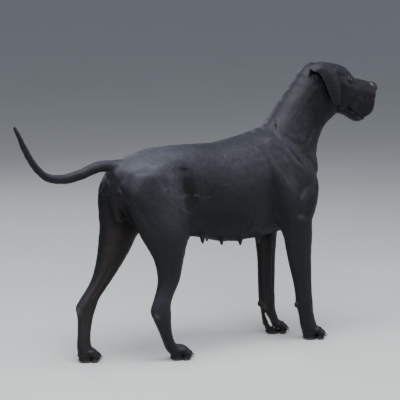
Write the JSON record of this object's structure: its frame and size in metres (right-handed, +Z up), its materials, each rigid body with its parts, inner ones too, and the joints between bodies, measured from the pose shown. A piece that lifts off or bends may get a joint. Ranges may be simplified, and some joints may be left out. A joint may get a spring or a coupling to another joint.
{
  "type": "standing great dane",
  "caption": "Life-size still model of a black great dane bitch standing alert, tail raised in a long curve, ears dropped.",
  "frame": {"origin": "on the floor, under the middle of the dog's overall length and width", "axes": "+X the way the dog faces, +Y her left, +Z up"},
  "size_m": [1.5102, 0.2743, 1.0275],
  "materials": {
    "black_coat": "short, sleek black hair with a blue-grey sheen",
    "nose_leather": "moist, finely pebbled black nose leather",
    "eye_brown": "wet, dark brown eye",
    "claw_horn": "black horn, a little worn at the tip"
  },
  "bodies": {
    "root": {"claw_forepaw_left_1": "claw_horn", "claw_forepaw_left_2": "claw_horn", "claw_forepaw_left_3": "claw_horn", "claw_forepaw_left_4": "claw_horn", "claw_forepaw_right_1": "claw_horn", "claw_forepaw_right_2": "claw_horn", "claw_forepaw_right_3": "claw_horn", "claw_forepaw_right_4": "claw_horn", "claw_hindpaw_left_1": "claw_horn", "claw_hindpaw_left_2": "claw_horn", "claw_hindpaw_left_3": "claw_horn", "claw_hindpaw_left_4": "claw_horn", "claw_hindpaw_right_1": "claw_horn", "claw_hindpaw_right_2": "claw_horn", "claw_hindpaw_right_3": "claw_horn", "claw_hindpaw_right_4": "claw_horn", "ear_left": "black_coat", "ear_right": "black_coat", "eye_left": "eye_brown", "eye_right": "eye_brown", "foreleg_left_lower": "black_coat", "foreleg_left_upper": "black_coat", "foreleg_right_lower": "black_coat", "foreleg_right_upper": "black_coat", "forepaw_left": "black_coat", "forepaw_right": "black_coat", "head": "black_coat", "hindleg_left_lower": "black_coat", "hindleg_left_upper": "black_coat", "hindleg_right_lower": "black_coat", "hindleg_right_upper": "black_coat", "hindpaw_left": "black_coat", "hindpaw_right": "black_coat", "neck": "black_coat", "nose": "nose_leather", "tail_base": "black_coat", "tail_middle": "black_coat", "tail_tip": "black_coat", "torso": "black_coat"}
  },
  "joints": []
}
